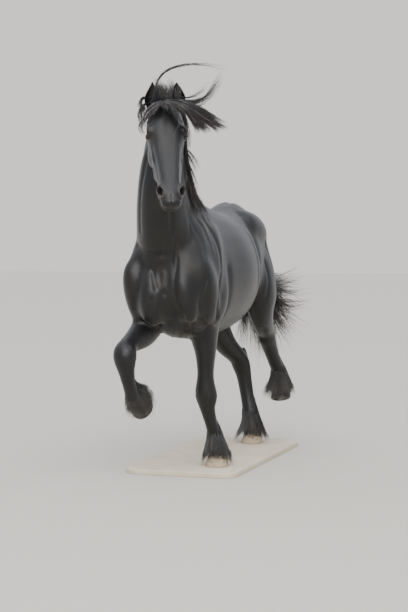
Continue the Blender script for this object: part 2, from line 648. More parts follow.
# Face, on both sides: width, depth, points (down the face, aside, out)
FACE_CREASES = (
    (0.007, -0.0022, ((0.27, 0.060, -0.006), (0.36, 0.056, -0.012), (0.46, 0.051, -0.014), (0.53, 0.048, -0.014))),
    (0.016, 0.0040, ((0.25, 0.086, -0.044), (0.33, 0.076, -0.050), (0.42, 0.068, -0.052), (0.50, 0.062, -0.048))),
    (0.018, 0.0080, ((0.095, 0.078, -0.018), (0.135, 0.086, -0.022))),
    (0.009, -0.0040, ((0.08, 0.094, -0.055), (0.12, 0.103, -0.050), (0.150, 0.106, -0.042))),
    (0.004, -0.0018, ((0.31, 0.080, -0.075), (0.345, 0.070, -0.10), (0.40, 0.056, -0.14), (0.43, 0.044, -0.165))),
    (0.010, 0.0050, ((0.505, 0.052, -0.030), (0.535, 0.060, -0.034))),
    (0.012, 0.0060, ((0.535, 0.052, -0.118), (0.565, 0.045, -0.130), (0.60, 0.030, -0.140))),
    (0.010, 0.0035, ((0.590, 0.062, -0.060), (0.625, 0.052, -0.072), (0.645, 0.034, -0.076))),
    (0.007, 0.0025, ((0.600, 0.0, -0.004), (0.640, 0.0, -0.030), (0.662, 0.0, -0.056))),
    (0.020, 0.0030, ((0.09, 0.0, 0.012), (0.17, 0.0, 0.016), (0.24, 0.0, 0.010))),
    (0.007, 0.0025, ((0.565, 0.066, -0.088), (0.545, 0.066, -0.100), (0.530, 0.060, -0.112))),
    (0.030, 0.0060, ((0.08, 0.080, -0.165), (0.04, 0.070, -0.13))),
)
# Tendons: along each lower leg from knee or hock to fetlock, on the inside and the outside
TENDON_WIDTH = 0.009
TENDON_DEPTH = 0.0045
TENDON_BEHIND = 0.30


def pressed(co, line, width, depth, push):
    """Adds to each point's push what a crease along the line asks of it."""
    line = np.array(line, float)
    lengths = np.linalg.norm(np.diff(line, axis=0), axis=1)
    total = lengths.sum()
    reach = width * 2.6
    near = ((co > line.min(0) - reach) & (co < line.max(0) + reach)).all(1).nonzero()[0]
    if not len(near):
        return
    p = co[near]
    best = np.full(len(near), 1e9)
    place = np.zeros(len(near))
    start = 0.0
    for a, b, length in zip(line, line[1:], lengths):
        t = np.clip(((p - a) @ (b - a)) / max(length**2, 1e-12), 0, 1)
        d = np.linalg.norm(p - (a + t[:, None] * (b - a)), axis=1)
        closer = d < best
        best[closer] = d[closer]
        place[closer] = start + t[closer] * length
        start += length
    fade = np.clip(np.minimum(place, total - place) / (1.5 * width) + 0.25, 0, 1)
    push[near] -= depth * fade * np.exp(-((best / width) ** 2))


tree_of_skin = BVHTree.FromObject(skin, bpy.context.evaluated_depsgraph_get())


def laid_on_skin(line):
    """The line's points moved to the nearest places on the skin."""
    return [tree_of_skin.find_nearest(Vector(p))[0] for p in eased_rows(line, 5)]


co = places_of(skin.data)
out = normals_of(skin.data)
push = np.zeros(len(co))
for width, depth, line in CREASES + CREASES_RIGHT:
    pressed(co, laid_on_skin(line), max(width, 0.011), depth, push)
for width, depth, line in NECK_CREASES:
    pressed(co, laid_on_skin(line), width, depth, push)
    # the neck stands over a middle that wanders sideways with its height
    middle = [np.interp(p[2], (1.3, 1.6, 1.85, 2.1), (-0.034, -0.01, 0.035, 0.09)) for p in line]
    other = [(2 * m - p[0], p[1], p[2]) for m, p in zip(middle, line)]
    pressed(co, laid_on_skin(other), width, depth, push)
for width, depth, line in FACE_CREASES:
    for side in (-1, 1):
        if side < 0 or line[0][1] > 0:
            pressed(co, laid_on_skin([head_point(d, a * side, o) for d, a, o in line]), width, depth, push)
for name, stations in LEGS.items():
    rows = stations[5:]
    for side in (-1, 1):
        line = [
            place + across * side * row[3] - front * row[5] * TENDON_BEHIND
            for row, place, across, front in leg_frames(rows)
        ]
        pressed(co, laid_on_skin(line[1:-1]), TENDON_WIDTH, TENDON_DEPTH, push)
co += out * push[:, None]

# Nostrils: deep comma-shaped pits, widest above, inside a thin flared rim
NOSTRIL_HALF = (0.0165, 0.0262)
NOSTRIL_DEPTH = 0.034
NOSTRIL_RIM = 0.0062


def smooth_step(x, low, high):
    t = np.clip((x - low) / (high - low), 0, 1)
    return t * t * (3 - 2 * t)


rel = (co - np.array(POLL)) @ head_rows.T
bare = np.zeros(len(co))
for side in (-1, 1):
    down, across, face = NOSTRIL_PLACE
    centre = np.array((down, across * side, face))
    way = np.array((0.34, 0.66 * side, 0.66))
    way /= np.linalg.norm(way)
    lengthwise = np.array((0.95, -0.30 * side, 0.0))
    lengthwise -= way * lengthwise.dot(way)
    lengthwise /= np.linalg.norm(lengthwise)
    crosswise = np.cross(way, lengthwise) * side
    p = rel - centre
    u, v, w = p @ lengthwise, p @ crosswise, p @ way
    # the pit is round above and runs out below in a curved tail towards the lip
    tail = np.clip(u / NOSTRIL_HALF[1], -1.5, 1.5)
    across_half = NOSTRIL_HALF[0] * (1 - 0.42 * smooth_step(tail, -0.1, 1.0))
    bend = v - 0.0055 * tail * np.abs(tail)
    ring = np.sqrt((u / NOSTRIL_HALF[1]) ** 2 + (bend / across_half) ** 2)
    here = np.abs(w) < 0.036
    pit = NOSTRIL_DEPTH * (1 - smooth_step(ring, 0.35, 1.10)) * here * (1 - 0.55 * smooth_step(tail, -0.2, 0.9))
    outer = smooth_step(bend, -0.012, 0.004)
    rim = NOSTRIL_RIM * np.exp(-(((ring - 1.36) / 0.24) ** 2)) * here * (0.45 + 0.55 * outer)
    rel += (rim - pit)[:, None] * way
    bare = np.maximum(bare, np.exp(-(((ring - 1.10) / 0.42) ** 2)) * here)

# Mouth: the line between the lips, which are rolled a little
MOUTH_PLACE = 0.640
MOUTH_FACE = -0.094
p = rel - np.array((MOUTH_PLACE, 0.0, MOUTH_FACE))
above = p[:, 2] * 0.985 + p[:, 0] * 0.17
front = smooth_step(rel[:, 0], 0.560, 0.585) * (np.abs(rel[:, 1]) < 0.09) * (rel[:, 2] < -0.03)
inward = rel - np.array((0.575, 0.0, -0.092))
inward[:, 2] = 0
inward /= np.maximum(np.linalg.norm(inward, axis=1), 1e-6)[:, None]
lips = 0.0028 * (np.exp(-(((above - 0.010) / 0.006) ** 2)) + np.exp(-(((above + 0.011) / 0.007) ** 2)))
slit = 0.0080 * np.exp(-((above / 0.0026) ** 2))
rel += (front * (lips - slit))[:, None] * inward
bare = np.maximum(bare, front * np.exp(-((above / 0.010) ** 2)))

# Eyelids: the skin lies over the eyeball, and parts along an almond slit
LID = 0.0038
SLIT_HALF = (0.0198, 0.0106)
eye_frames = {}
for side, name in ((1, "left"), (-1, "right")):
    centre = np.array((EYE_PLACE[0], side * EYE_PLACE[1], EYE_PLACE[2]))
    way = np.array((-0.16, 0.86 * side, 0.48))
    way /= np.linalg.norm(way)
    length = np.array((0.80, 0.1 * side, -0.45))
    length -= way * length.dot(way)
    length /= np.linalg.norm(length)
    across = np.cross(way, length)
    across *= 1 if across[0] < 0 or across[2] > 0 else -1
    eye_frames[name] = (centre, length, across, way)
    p = rel - centre
    r = np.linalg.norm(p, axis=1)
    near = (r < 0.052) & (p @ way > 0)
    q = p[near]
    rn = r[near]
    u = (q @ length) / rn * EYE_RADIUS
    v = (q @ across) / rn * EYE_RADIUS
    half = SLIT_HALF[1] * np.clip(1 - (u / SLIT_HALF[0]) ** 2, 0, 1) ** 0.75
    over = np.abs(v) - half
    over = np.where(np.abs(u) > SLIT_HALF[0], np.maximum(over, np.abs(u) - SLIT_HALF[0]), over)
    covered = smooth_step(over, -0.0004, 0.0022)
    away = np.hypot(u, v)
    lid_shape = EYE_RADIUS + LID - 0.0018 * smooth_step(over, 0.006, 0.001)
    fold = 0.0016 * np.exp(-(((over - 0.0075) / 0.0016) ** 2)) * (v > 0)
    outside = np.maximum(rn, lid_shape) - fold
    held = smooth_step(away, 0.0235, 0.0200)
    target = np.where(covered > 0, outside * covered + (EYE_RADIUS - 0.006) * (1 - covered), EYE_RADIUS - 0.006)
    new = rn * (1 - held) + target * held
    rel[near] = centre + q / rn[:, None] * new[:, None]
    bare[near] = np.maximum(bare[near], smooth_step(over, 0.005, 0.0005) * held)
moved = about_head(rel, 0.08)
co[moved] = rel[moved] @ head_rows + np.array(POLL)
set_places(skin.data, co)
out = normals_of(skin.data)
# the coat lies between the skin and the horse's outline
co -= out * COAT_DEPTH
set_places(skin.data, co)

# unwrap of the skin that long hair takes its baked colours from: each part of the horse is a
# strip, turned round its own middle line
STRIPS = {"trunk": [], "neck": [], "head": [], "dock": []}
for y, top, bottom, middle, *_ in eased_rows(TRUNK):
    STRIPS["trunk"].append(lean(0.0, y, middle))
for crest_y, crest_z, under_y, under_z, shift, half in eased_rows(NECK):
    STRIPS["neck"].append(Vector((shift, (crest_y + under_y) / 2, (crest_z + under_z) / 2)))
for down, face, jaw, *_ in eased_rows(HEAD):
    STRIPS["head"].append(head_point(down, 0.0, (face + jaw) / 2))
STRIPS["dock"] = [Vector(row[:3]) for row in eased_rows(DOCK)]
for name, stations in LEGS.items():
    STRIPS[name] = [Vector(row[:3]) for row in eased_rows(stations)]


def unwrapped(points):
    """Each point's place on the unwrapped skin, between 0 and 1 both ways."""
    points = np.asarray(points, float)
    best = np.full(len(points), 1e9)
    out = np.zeros((len(points), 2))
    for strip, line in enumerate(STRIPS.values()):
        line = np.array([tuple(p) for p in line])
        lengths = np.linalg.norm(np.diff(line, axis=0), axis=1)
        start, total = 0.0, lengths.sum()
        for a, b, length in zip(line, line[1:], lengths):
            way = (b - a) / max(length, 1e-9)
            side = np.cross(way, (0.0, 0.0, 1.0)) if abs(way[2]) < 0.9 else np.cross(way, (0.0, 1.0, 0.0))
            side /= np.linalg.norm(side)
            t = np.clip((points - a) @ way, 0, length)
            rel = points - (a + t[:, None] * way)
            d = np.linalg.norm(rel, axis=1)
            closer = d < best
            angle = np.arctan2(rel @ np.cross(way, side), rel @ side)
            u = (strip + 0.08 + 0.84 * (angle / (2 * math.pi) + 0.5)) / len(STRIPS)
            v = 0.03 + 0.94 * (start + t) / total
            best[closer] = d[closer]
            out[closer] = np.stack((u, v), axis=1)[closer]
            start += length
    return out


def stand_on_base(obj):
    """The finished piece goes from the horse's own ground to its place on the base."""
    obj.data.transform(Matrix.Translation(HORSE_AT))
    obj.data.update()


# Coat: short black hair, combed flat by its own growth and glossy with grease, so that light
# runs over it in soft broad patches. One hair is far too fine to show, so that a strand of the
# pattern is 1.6 mm across and 22 mm long.
BLACK_COAT = "#0b0b0d"
BLACK_COAT_WORN = "#15130f"
BLACK_SKIN = "#161314"
ROSY_SKIN = "#3a2c2b"
SKIN_SHARE = 0.57
HAIR_ACROSS_MM = 1.6
HAIR_LONG_MM = 22.0


def blend(tree, share, one, other):
    """The colour between two, by the share of the other."""
    return node(tree, "ShaderNodeMix", {"data_type": "RGBA"}, {0: share, 6: one, 7: other}).outputs[2]


def combined(tree, operation, one, other):
    """Two numbers, multiplied or added."""
    return node(tree, "ShaderNodeMath", {"operation": operation}, {0: one, 1: other}).outputs[0]


def noise(tree, where, scale, detail=2.0, roughness=0.5):
    """Soft noise between 0 and 1, by the place that it is looked up at."""
    values = {"Vector": where, "Scale": scale, "Detail": detail, "Roughness": roughness}
    return node(tree, "ShaderNodeTexNoise", (), values).outputs["Fac"]


def bumped(tree, height, strength, distance):
    """A normal that shows the height as relief of the surface, this many metres deep."""
    values = {"Strength": strength, "Distance": distance, "Height": height}
    return node(tree, "ShaderNodeBump", (), values).outputs[0]


def own_place(tree):
    return node(tree, "ShaderNodeTexCoord").outputs["Object"]


def attribute(tree, label):
    """The number that set_attribute gave the object."""
    return node(tree, "ShaderNodeAttribute", {"attribute_name": label}).outputs["Fac"]


def set_attribute(obj, label, values):
    """A number at each point of the object, which its material reads by the label."""
    layer = obj.data.attributes.new(label, "FLOAT", "POINT")
    layer.data.foreach_set("value", np.ascontiguousarray(values, np.float32))


coat, tree = new_material("short_black_coat")
combed = node(
    tree, "ShaderNodeMapping", (),
    {
        "Vector": own_place(tree),
        "Rotation": (math.radians(-58), 0, 0),
        "Scale": (1000 / HAIR_ACROSS_MM, 1000 / HAIR_LONG_MM, 1000 / HAIR_ACROSS_MM),
    },
)
hair = noise(tree, combed.outputs[0], 1.0, roughness=0.55)
faded = ranged(tree, noise(tree, own_place(tree), 7.0, 3.0), (0.45, 0.75))
hue = blend(tree, faded, linear(BLACK_COAT), linear(BLACK_COAT_WORN))
skin_hue = blend(tree, attribute(tree, "rosy"), linear(BLACK_SKIN), linear(ROSY_SKIN))
surface(tree, {
    "Base Color": blend(tree, attribute(tree, "bare"), hue, skin_hue),
    "Roughness": ranged(tree, hair, end=(0.34, 0.46)),
    "Normal": bumped(tree, hair, 0.35, 0.0010),
    "Sheen Weight": 0.10,
    "Sheen Roughness": 0.45,
    "Specular IOR Level": 0.36,
})

set_attribute(skin, "bare", np.clip(bare, 0, 1))
# the lips and the rims of the nostrils are rosier than the lids
set_attribute(skin, "rosy", np.clip(bare * smooth_step(rel[:, 0], 0.55, 0.62), 0, 1))
# flat stretches need fewer faces than the head and the creases
finish_with(skin, "DECIMATE", ratio=SKIN_SHARE)
body = BVHTree.FromObject(skin, bpy.context.evaluated_depsgraph_get())
skin.data.materials.append(coat)
stand_on_base(skin)
only(skin)
bpy.ops.object.shade_smooth()
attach(skin, "root")
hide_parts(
    "torso", "neck", "head", "tail", "forearm_left", "forearm_right", "gaskin_left", "gaskin_right",
    "cannon_fore_left", "cannon_fore_right", "cannon_hind_left", "cannon_hind_right",
)

# Eyes: a horse's eyeball, 47 mm across, with a clear bulging front over a dark brown iris and a
# long level pupil. Each sits behind its lids in the socket, wet and dark, and shows a sky light.
IRIS_HALF = 0.0170
PUPIL_HALF = (0.0092, 0.0046)
CORNEA_RISE = 0.0022
CORNEA_START = 0.72
EYE_INSET = 0.0006
BROWN_IRIS = "#2b1a0f"
BLACK_PUPIL = "#040404"
DARK_SCLERA = "#1d1613"

wet_eye, tree = new_material("wet_brown_eye")


def within(tree, halves):
    """How far from the middle of the eye, where 1 is the edge of an oval of these half-sizes."""
    flat = node(tree, "ShaderNodeCombineXYZ", (), {"X": attribute(tree, "along"), "Y": attribute(tree, "across")})
    shares = {0: flat.outputs[0], 1: (1 / halves[0], 1 / halves[1], 0.0)}
    scaled = node(tree, "ShaderNodeVectorMath", {"operation": "MULTIPLY"}, shares)
    return node(tree, "ShaderNodeVectorMath", {"operation": "LENGTH"}, {0: scaled.outputs[0]}).outputs["Value"]


def scaled_hue(tree, hue, by):
    """The colour, made lighter or darker."""
    return node(tree, "ShaderNodeVectorMath", {"operation": "SCALE"}, {0: hue, "Scale": by}).outputs[0]


fleck = ranged(tree, noise(tree, own_place(tree), 900.0, 3.0), end=(0.6, 1.5))
iris = scaled_hue(tree, linear(BROWN_IRIS)[:3], fleck)
edge = ranged(tree, within(tree, (IRIS_HALF, IRIS_HALF)), (0.88, 1.04))
round_iris = blend(tree, edge, iris, linear(DARK_SCLERA))
hole = ranged(tree, within(tree, PUPIL_HALF), (0.92, 1.10))
surface(tree, {
    "Base Color": blend(tree, hole, linear(BLACK_PUPIL), round_iris),
    "Roughness": 0.12,
    "Coat Weight": 0.45,
    "Coat Roughness": 0.02,
    "Specular IOR Level": 0.2,
})

for name, (centre, length, across, way) in eye_frames.items():
    bpy.ops.mesh.primitive_uv_sphere_add(segments=64, ring_count=40, radius=1.0, location=(0, 0, 0))
    eye = bpy.context.object
    eye.name = "eyeball_" + name
    ball = places_of(eye.data)
    # the pole looks out of the head, and the clear front stands a little proud of the ball
    radius = EYE_RADIUS - EYE_INSET + CORNEA_RISE * smooth_step(ball[:, 2], CORNEA_START, 1.0)
    ball *= radius[:, None]
    for label, column in (("along", 0), ("across", 1)):
        set_attribute(eye, label, np.where(ball[:, 2] > 0, ball[:, column], 1.0))
    turned = centre + ball @ np.array((length, across, way))
    set_places(eye.data, turned @ head_rows + np.array(POLL))
    if np.dot(np.cross(length, across), way) < 0:
        eye.data.flip_normals()
    eye.data.materials.append(wet_eye)
    stand_on_base(eye)
    only(eye)
    bpy.ops.object.shade_smooth()
    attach(eye, "root")
    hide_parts("eye_" + name)

# Ears: upright shells of thin skin and gristle, leaf-shaped, black inside, with short fur on
# their backs and soft hair at the opening. They grow out of the head on a fleshy root.
EAR_LENGTH = 0.160
EAR_WALL = 0.0036
EAR_RADIUS = 0.0345
EAR_TIP_RADIUS = 0.0008
EAR_WRAP_DEG = 165
EAR_OPENS_DEG = 95
EARS = {
    "left": ((0.012, 0.072, -0.055), (0.00, 0.02, 1.0), (0.80, -0.60, 0.0)),
    "right": ((0.012, -0.060, -0.055), (-0.10, -0.02, 1.0), (-0.50, -0.86, 0.0)),
}
# the shell starts inside the head
EAR_START, EAR_END = -0.05, 0.999
EAR_ROWS, EAR_COLUMNS = 30, 33


def ear_surface(name, t, share):
    """A place on the middle of an ear's wall: t up its length, share across it from rim to rim."""
    root, up, opening = EARS[name]
    up, opening = Vector(up).normalized(), Vector(opening)
    opening = (opening - up * opening.dot(up)).normalized()
    side = up.cross(opening)
    radius = EAR_TIP_RADIUS + EAR_RADIUS * max(math.sin(math.pi * (0.18 + 0.82 * t)), 0.0) ** 0.85
    # the shell is all but closed at its root and opens towards its tip
    angle = math.radians(EAR_WRAP_DEG - EAR_OPENS_DEG * t) * (2 * share - 1)
    bend = up * EAR_LENGTH * t + opening * (0.012 * math.sin(math.pi * t) - 0.010 * t)
    out = side * math.sin(angle) - opening * math.cos(angle)
    # the rims roll outwards a little, and the shell narrows where it leaves the head
    rolled = 0.10 * abs(2 * share - 1) ** 6 * math.sin(math.pi * t)
    return head_point(*root) + bend + out * radius * (1 + rolled)


ear_skin, tree = new_material("black_ear_fur")
nap = node(tree, "ShaderNodeMapping", (), {"Vector": own_place(tree), "Scale": (1100, 1100, 160)})
surface(tree, {
    "Base Color": blend(tree, attribute(tree, "inside"), linear("#0b0b0d"), linear("#050505")),
    "Roughness": 0.52,
    "Normal": bumped(tree, noise(tree, nap.outputs[0], 1.0), 0.4, 0.0008),
    "Sheen Weight": 0.04,
    "Sheen Roughness": 0.4,
    "Specular IOR Level": 0.3,
})

for name in EARS:
    bm = bmesh.new()
    rows = []
    for i in range(EAR_ROWS):
        t = (i / (EAR_ROWS - 1)) * (EAR_END - EAR_START) + EAR_START
        rows.append([bm.verts.new(ear_surface(name, t, k / (EAR_COLUMNS - 1))) for k in range(EAR_COLUMNS)])
    for low, high in zip(rows, rows[1:]):
        for k in range(EAR_COLUMNS - 1):
            bm.faces.new((low[k], low[k + 1], high[k + 1], high[k]))
    ear = object_of(bm, "ear_shell_" + name)
    finish_with(ear, "SOLIDIFY", thickness=EAR_WALL, offset=0.0)
    finish_with(ear, "SUBSURF", levels=1)
    only(ear)
    bpy.ops.object.mode_set(mode="EDIT")
    bpy.ops.mesh.select_all(action="SELECT")
    bpy.ops.mesh.normals_make_consistent(inside=False)
    bpy.ops.object.mode_set(mode="OBJECT")
    # the inside is the face that looks at the opening
    root, up, opening = EARS[name]
    axis = np.array(Vector(up).normalized())
    base = np.array(head_point(*root))
    co, out = places_of(ear.data), normals_of(ear.data)
    middle = base + ((co - base) @ axis)[:, None] * axis
    set_attribute(ear, "inside", ((middle - co) * out).sum(1) > 0)
    ear.data.materials.append(ear_skin)
    stand_on_base(ear)
    only(ear)
    bpy.ops.object.shade_smooth()
    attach(ear, "root")
    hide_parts("ear_" + name)

# Hooves: boxes of black horn that grow in rings from the coronet, worn round at the ground and
# bare underneath, where a frog lies between the bars. Dust clings to the lower edge.
HOOF_HALF_WIDTH = 0.068
HOOF_HALF_LENGTH = 0.070
HOOF_TOE_SLOPE = 0.060
HOOF_LEAN = 0.8
HOOF_MIDDLE = 0.0655
HOOF_RISE = 0.0195
HOOF_GAP = 0.0003
HOOF_ROUND = 72
HOOF_PROFILE = (
    (0.0, 0.6), (0.0, 0.9), (0.012, 0.962), (0.05, 0.992), (0.1, 0.992), (0.18, 0.978),
    (0.26, 0.966), (0.34, 0.952), (0.42, 0.936), (0.5, 0.919), (0.58, 0.903), (0.66, 0.887),
    (0.74, 0.871), (0.82, 0.855), (0.9, 0.838), (0.97, 0.822), (1.0, 0.8), (1.0, 0.55),
)
GROWTH_RINGS = 6
RING_DEPTH = 0.0007
GROUNDED = ("fore_left", "hind_right")
DUST_ON_RAISED = 0.35
BLACK_HORN = "#171513"
BROWN_HORN = "#2e2a26"
SAND_DUST = "#a8987f"

horn, tree = new_material("black_hoof_horn")
height = attribute(tree, "height")
grid = node(tree, "ShaderNodeCombineXYZ", (), {"X": attribute(tree, "round"), "Y": height})
tubules = node(tree, "ShaderNodeMapping", (), {"Vector": grid.outputs[0], "Scale": (220, 5, 1)})
streak = noise(tree, tubules.outputs[0], 1.0, 3.0)
bands = node(tree, "ShaderNodeMapping", (), {"Vector": grid.outputs[0], "Scale": (3, 26, 1)})
band = noise(tree, bands.outputs[0], 1.0)
dirt = noise(tree, own_place(tree), 60.0, 5.0)
dust = combined(tree, "MULTIPLY", ranged(tree, height, (1.10, 0.25)), dirt)
dust = combined(tree, "MULTIPLY", dust, attribute(tree, "trodden"))
dusty = ranged(tree, dust, (0.16, 0.46), (0.0, 0.90))
horn_tone = blend(tree, streak, linear(BLACK_HORN), linear(BROWN_HORN))
surface(tree, {
    "Base Color": blend(tree, dusty, horn_tone, linear(SAND_DUST)),
    "Roughness": ranged(tree, dusty, end=(0.42, 0.85)),
    "Normal": bumped(tree, combined(tree, "ADD", streak, band), 0.5, 0.0009),
})

for name in FEET:
    sole, side, toe, up = foot_axes(name)
    bm = bmesh.new()
    heights, rings = [], []
    for share, size in HOOF_PROFILE:
        ring = []
        for k in range(HOOF_ROUND):
            angle = 2 * math.pi * k / HOOF_ROUND
            across, before = math.cos(angle), math.sin(angle)
            # growth rings lie closer together at the heel, and the heels part behind
            wave = RING_DEPTH * math.sin(2 * math.pi * GROWTH_RINGS * share) * (0.1 < share < 0.96)
            cleft = 0.010 * math.exp(-(((angle - 1.5 * math.pi) / 0.22) ** 2))
            long = (1.06 if before > 0 else 0.86) * before
            place_ahead = (HOOF_HALF_LENGTH * size + wave) * long - share * HOOF_TOE_SLOPE * HOOF_LEAN + cleft
            lift = share * (HOOF_MIDDLE + HOOF_RISE * before - HOOF_GAP)
            point = sole + side * (HOOF_HALF_WIDTH * size + wave) * across + toe * place_ahead + up * lift
            if size < 0.7 and share == 0.0:
                point += up * 0.006
            ring.append(bm.verts.new(point))
            heights.append((share, k / HOOF_ROUND))
        rings.append(ring)
    for low_ring, high_ring in zip(rings, rings[1:]):
        for k in range(HOOF_ROUND):
            n = (k + 1) % HOOF_ROUND
            bm.faces.new((low_ring[k], low_ring[n], high_ring[n], high_ring[k]))
    for ring, hub_lift in ((rings[0], 0.004), (rings[-1], 0.0)):
        hub = bm.verts.new(sum((v.co for v in ring), Vector()) / HOOF_ROUND + up * hub_lift)
        heights.append((0.0 if hub_lift else 1.0, 0.5))
        for k in range(HOOF_ROUND):
            bm.faces.new((ring[k], ring[(k + 1) % HOOF_ROUND], hub))
    # the frog: a wedge of soft horn under the sole, its point to the toe
    tip, heel = sole + toe * 0.022 + up * 0.003, sole - toe * 0.050 + up * 0.003
    frog = [
        tip, heel + side * 0.022, heel - side * 0.022,
        tip + up * 0.012, heel + side * 0.026 + up * 0.012, heel - side * 0.026 + up * 0.012,
    ]
    corners = [bm.verts.new(p) for p in frog]
    for face in ((0, 1, 2), (3, 5, 4), (0, 3, 4, 1), (1, 4, 5, 2), (2, 5, 3, 0)):
        bm.faces.new([corners[i] for i in face])
    heights += [(0.0, 0.5)] * len(frog)
    bmesh.ops.recalc_face_normals(bm, faces=bm.faces)
    hoof = object_of(bm, "hoof_horn_" + name)
    for label, column in (("height", 0), ("round", 1)):
        set_attribute(hoof, label, np.array(heights)[:, column])
    set_attribute(hoof, "trodden", np.full(len(heights), 1.0 if name in GROUNDED else DUST_ON_RAISED))
    hoof.data.materials.append(horn)
    stand_on_base(hoof)
    only(hoof)
    bpy.ops.object.shade_smooth_by_angle(angle=math.radians(40))
    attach(hoof, "root")
    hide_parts("hoof_" + name)

# Mane: coarse long hair, black at its roots and burnt reddish-brown and mauve at its ends. It
# grows from the crest in two layers and is blown over to the horse's left and up at the poll.
# Each hair of the mesh stands for a few real ones that stick together.
chance = np.random.default_rng(11)
HAIR_RINGS = 12
# a hair's patch on the bake map
PATCH_HALF_WIDTH = 0.0013
PATCH_LENGTH = 0.003


def thrown(root, launch, pull, clearance, rings=HAIR_RINGS):
    """A lock's path: thrown from its root and drawn aside as it goes, kept off the body."""
    t = np.linspace(0, 1, rings)[:, None]
    path = np.array(root, float) + np.array(launch, float) * t + np.array(pull, float) * t * t
    return kept_off(path, clearance)


def kept_off(path, clearance):
    """The path, moved out of the body until it stands this far off it."""
    path = np.array(path, float)
    rings = len(path)
    for sweep in range(4):
        for i in range(1, rings):
            place, normal = body.find_nearest(Vector(path[i]))[:2]
            off = clearance * min(i / (0.4 * rings), 1.0)
            if (Vector(path[i]) - place).dot(normal) < off:
                path[i] = place + normal * off
        if sweep < 3:
            path[1:-1] = path[1:-1] * 0.5 + (path[:-2] + path[2:]) * 0.25
    return path


def carried_through(points, rings=HAIR_RINGS):
    """A smooth path through a few points, with as many places as asked for."""
    rows = eased_rows(points, 8)
    lengths = np.r_[0.0, np.cumsum(np.linalg.norm(np.diff(rows, axis=0), axis=1))]
    wanted = np.linspace(0, lengths[-1], rings)
    return np.stack([np.interp(wanted, lengths, rows[:, k]) for k in range(3)], axis=1)


def grown_along(
    path, count, wide, thick, width, root_line=(0, 0, 0),
    reach=(0.75, 1.05), clump=0.35, fray=0.5, wave=0.006, taper=2.2,
):
    """Hairs of one lock: three-cornered rings (hair, ring, corner, xyz) with a shade for each hair.

    The lock is so wide and thick at its middle, gathered by the clump and opened again at its
    ends by the fray. Its hairs wander by the wave, and root along the root line.
    """
    rings = len(path)
    last = rings - 1
    steps = np.gradient(path, axis=0)
    steps /= np.linalg.norm(steps, axis=1)[:, None] + 1e-9
    flats = np.zeros_like(path)
    flat = np.array(body.find_nearest(Vector(path[rings // 2]))[1])
    for i in range(rings):
        near = np.array(body.find_nearest(Vector(path[i]))[1])
        flat = flat * 2 + (near if near @ flat > 0 else 0)
        flat = flat - steps[i] * (flat @ steps[i])
        flat /= np.linalg.norm(flat) + 1e-9
        flats[i] = flat
    sides = np.cross(steps, flats)
    length = chance.uniform(*reach, count)
    t = np.linspace(0, 1, rings)
    along = np.clip(t * length[:, None], 0, 1.2)
    low = np.clip((along * last).astype(int), 0, last - 1)
    part = (along * last - low)[..., None]
    centre = path[low] * (1 - part) + path[low + 1] * part
    side, flat = sides[low], flats[low]
    angle, distance = chance.uniform(0, 2 * math.pi, count), np.sqrt(chance.uniform(0, 1, count))
    a, b = (distance * np.cos(angle))[:, None], (distance * np.sin(angle))[:, None]
    gathered = 1 - clump * np.sin(math.pi * np.clip(along, 0, 1)) + fray * along**3
    drift = []
    for k in range(2):
        phase = chance.uniform(0, 6.3, (count, 2))
        pace = chance.uniform((1.2, 2.6), (2.4, 5.0), (count, 2))
        drift.append(
            np.sin(phase[:, :1] + 2 * math.pi * pace[:, :1] * along) * 0.7
            + np.sin(phase[:, 1:] + 2 * math.pi * pace[:, 1:] * along) * 0.3
            - np.sin(phase[:, :1]) * 0.7 - np.sin(phase[:, 1:]) * 0.3
        )
    shown = smooth_step(along, 0.0, 0.30)
    across = a * wide / 2 * gathered * shown + drift[0] * wave * along
    off = b * thick / 2 * gathered * (0.25 + 0.75 * shown) + drift[1] * wave * 0.6 * along
    centre = centre + side * across[..., None] + flat * off[..., None]
    centre += (a * (1 - shown))[..., None] * np.array(root_line, float) / 2
    size = width * chance.uniform(0.7, 1.25, count)[:, None]
    size = size * (0.55 + 0.45 * smooth_step(t, 0, 0.15)) * (1 - 0.88 * t**taper)
    roll = chance.uniform(-0.9, 0.9, count)[:, None] + 0.6 * t
    corners = []
    for turn_by, share in ((0.0, 0.5), (math.pi, 0.5), (math.pi / 2, 0.22)):
        c, s = np.cos(roll + turn_by), np.sin(roll + turn_by)
        corners.append(centre + (side * c[..., None] + flat * s[..., None]) * (size * share)[..., None])
    return np.stack(corners, axis=2), 0.6 * chance.uniform() + 0.4 * chance.uniform(0, 1, count)


